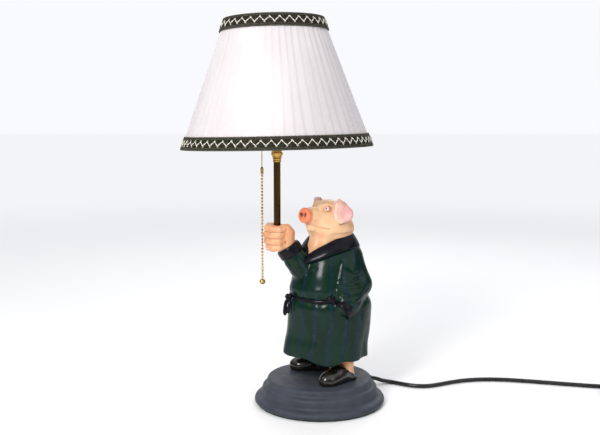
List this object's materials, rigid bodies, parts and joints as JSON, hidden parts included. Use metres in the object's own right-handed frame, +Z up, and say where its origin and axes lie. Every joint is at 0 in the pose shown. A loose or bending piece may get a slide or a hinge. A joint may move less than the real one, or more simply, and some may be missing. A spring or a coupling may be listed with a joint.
{
  "type": "figural table lamp",
  "caption": "Table lamp: a pig in a dressing gown on a stepped round base holds the lamp pole, with pull-chain socket, harp, pleated shade and mains cord.",
  "frame": {"origin": "centre of the underside of the base, on the surface that the lamp stands on", "axes": "+Z up, +X to the right and -Y to the front as the lamp is seen in its front view"},
  "size_m": [0.699, 0.26, 0.5329],
  "materials": {
    "slate_paint": "semi-gloss slate paint on turned wood",
    "felt": "wool felt",
    "robe_gloss": "varnished dark green with navy stripes on cast resin",
    "navy_gloss": "varnished near-black navy on cast resin",
    "skin_gloss": "varnished flesh paint on cast resin",
    "ear_paint": "varnished pink paint on cast resin",
    "eye_paint": "glossy painted eye",
    "slipper_gloss": "high gloss black-brown varnish on cast resin",
    "aged_brass": "dark aged brass",
    "bright_brass": "lacquered brass",
    "plated_steel": "zinc plated",
    "phenolic": "moulded black",
    "bulb_cap_metal": "rolled thread",
    "bulb_glass": "inside frosted",
    "shade_cloth": "pleated silk-like cloth",
    "braid": "woven braid, dark olive with a pale zig-zag",
    "frame_wire": "white coated wire",
    "cord_pvc": "glossy black flexible sheath",
    "plug_moulding": "moulded black"
  },
  "bodies": {
    "lamp": {"base_plinth": "slate_paint", "base_felt": "felt", "robe": "robe_gloss", "raised_sleeve": "robe_gloss", "pocket_sleeve": "robe_gloss", "raised_cuff": "navy_gloss", "pocket_cuff": "navy_gloss", "collar": "navy_gloss", "belt": "navy_gloss", "belt_knot": "navy_gloss", "belt_tails": "navy_gloss", "head": "skin_gloss", "fist": "skin_gloss", "leg_far": "skin_gloss", "leg_near": "skin_gloss", "ear_near": "ear_paint", "ear_far": "ear_paint", "eye_near": "eye_paint", "eye_far": "eye_paint", "slipper_far": "slipper_gloss", "slipper_near": "slipper_gloss", "pole_tube": "aged_brass", "pole_neck": "bright_brass", "check_ring": "bright_brass", "harp_saddle": "bright_brass", "socket_cap": "bright_brass", "centre_contact": "bright_brass", "screw_shell": "bright_brass", "socket_shell": "bright_brass", "chain_guide": "bright_brass", "harp": "bright_brass", "harp_ferrule_front": "bright_brass", "harp_ferrule_back": "bright_brass", "mounting_pipe": "plated_steel", "mounting_nut": "plated_steel", "foot_screw": "plated_steel", "plug_blade_1": "plated_steel", "plug_blade_2": "plated_steel", "socket_core": "phenolic", "coil_tie": "phenolic", "strain_relief": "cord_pvc", "inner_lead": "cord_pvc", "cord_tube": "cord_pvc", "cord_coil": "cord_pvc", "cord_tail": "cord_pvc", "plug_body": "plug_moulding"},
    "pull_wire": {"pull_wire": "bright_brass"},
    "chain_link": {"chain_connector": "bright_brass"},
    "bead_chain": {"bead_chain": "bright_brass", "end_ball": "bright_brass"},
    "bulb_carriage": {"bulb_tip": "bulb_cap_metal"},
    "bulb": {"bulb_base": "bulb_cap_metal", "bulb_glass": "bulb_glass"},
    "shade": {"shade_fabric": "shade_cloth", "bottom_braid": "braid", "top_braid": "braid", "shade_wires": "frame_wire", "shade_spider": "frame_wire"},
    "finial_carriage": {"finial_washer": "bright_brass"},
    "finial": {"finial": "bright_brass"}
  },
  "joints": [
    {"name": "chain_pull", "type": "slide", "parent": "lamp", "child": "pull_wire", "axis": [0, 0, -1], "range_m": [0, 0.008], "stiffness_N_per_m": 250, "springref_m": -0.004},
    {"name": "chain_swing_side", "type": "hinge", "parent": "pull_wire", "child": "chain_link", "pos_m": [-0.0786, -0.027, 0.3328], "axis": [0, 1, 0], "range_deg": [0, 25]},
    {"name": "chain_swing_front", "type": "hinge", "parent": "chain_link", "child": "bead_chain", "pos_m": [-0.0786, -0.027, 0.3219], "axis": [1, 0, 0], "range_deg": [-25, 25]},
    {"name": "bulb_lift", "type": "slide", "parent": "lamp", "child": "bulb_carriage", "axis": [0, 0, 1], "range_m": [0, 0.0199]},
    {"name": "bulb_turn", "type": "hinge", "parent": "bulb_carriage", "child": "bulb", "pos_m": [-0.0585, -0.02, 0.4], "axis": [0, 0, 1], "range_deg": [0, 1980]},
    {"name": "shade_turn", "type": "hinge", "parent": "lamp", "child": "shade", "pos_m": [-0.0585, -0.02, 0.3574], "axis": [-0.022, 0, 0.9998], "continuous": true},
    {"name": "finial_lift", "type": "slide", "parent": "lamp", "child": "finial_carriage", "axis": [-0.022, 0, 0.9998], "range_m": [0, 0.0056]},
    {"name": "finial_turn", "type": "hinge", "parent": "finial_carriage", "child": "finial", "pos_m": [-0.0585, -0.02, 0.3574], "axis": [-0.022, 0, 0.9998], "range_deg": [0, 2160]}
  ],
  "couplings": [
    {"joint": "bulb_turn", "follows": "bulb_lift", "rad_per_m": 1731.4},
    {"joint": "finial_turn", "follows": "finial_lift", "rad_per_m": 6679}
  ]
}
